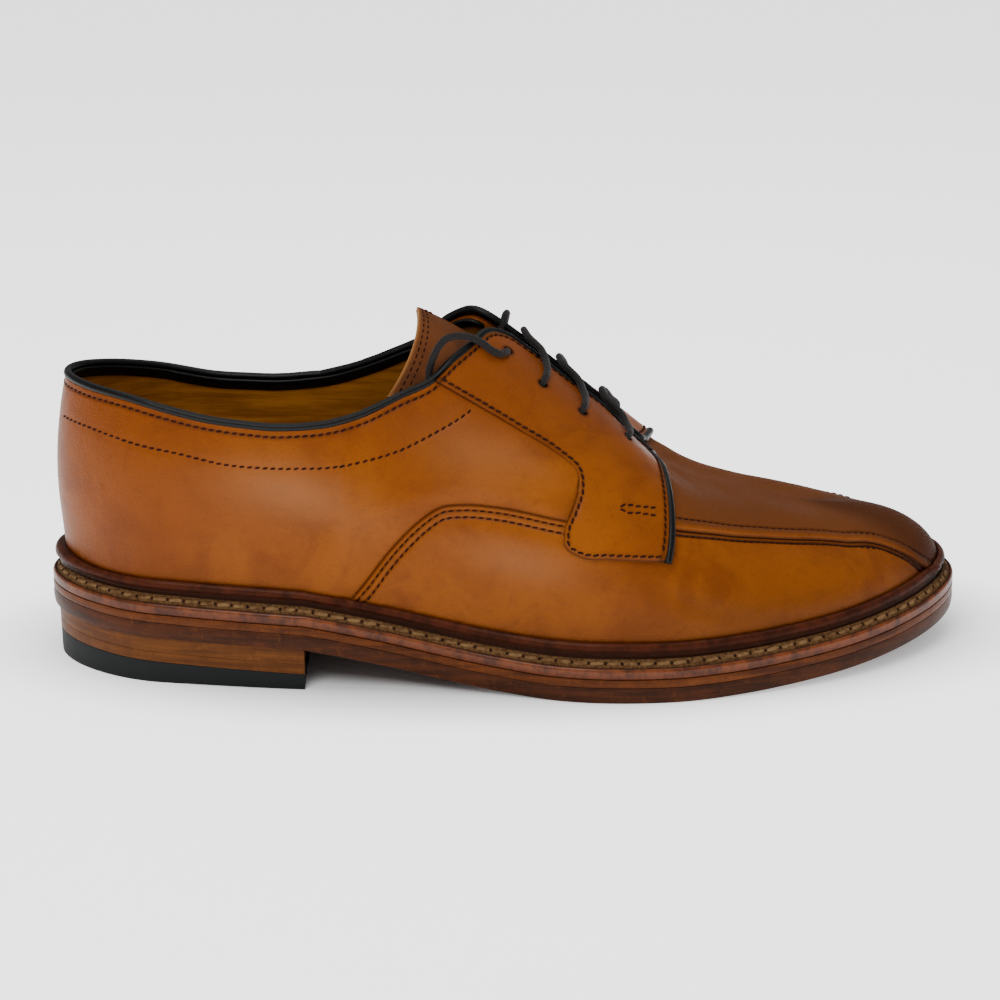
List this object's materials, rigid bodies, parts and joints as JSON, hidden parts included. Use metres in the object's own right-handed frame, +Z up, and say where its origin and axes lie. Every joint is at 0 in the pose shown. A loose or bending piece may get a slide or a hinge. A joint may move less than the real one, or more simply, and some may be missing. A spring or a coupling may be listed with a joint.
{
  "type": "bicycle toe derby shoe",
  "caption": "Man's right leather lace-up with open lacing tabs, bicycle toe seams, black bound topline, storm welt, leather sole and low stacked heel.",
  "frame": {"origin": "on the floor under the middle of the heel's tread", "axes": "+X from heel to toe, +Z up, -Y to the outer (lateral) side of this right shoe"},
  "size_m": [0.31, 0.1133, 0.1162],
  "materials": {
    "calf_leather": "polished tan calf",
    "tongue_leather": "matt tan calf",
    "lining_leather": "smooth lining leather",
    "welt_leather": "burnished red-brown edge",
    "midsole_leather": "burnished edge",
    "sole_leather": "stained edge, natural tread",
    "heel_leather": "stacked lifts, waxed",
    "rubber": "matt black",
    "binding": "black bound edge",
    "lace_cord": "round waxed cotton cord"
  },
  "bodies": {
    "root": {"heel_top_piece": "rubber", "heel_lift_lower": "heel_leather", "heel_lift_upper": "heel_leather", "outsole": "sole_leather", "midsole": "midsole_leather", "storm_welt": "welt_leather", "insole": "lining_leather", "upper": "calf_leather", "facing_lateral": "calf_leather", "facing_medial": "calf_leather", "tongue": "tongue_leather", "topline_binding": "binding", "lace_bar_1": "lace_cord", "lace_bar_2": "lace_cord", "lace_bar_3": "lace_cord", "lace_end_lateral": "lace_cord", "lace_end_medial": "lace_cord"}
  },
  "joints": []
}
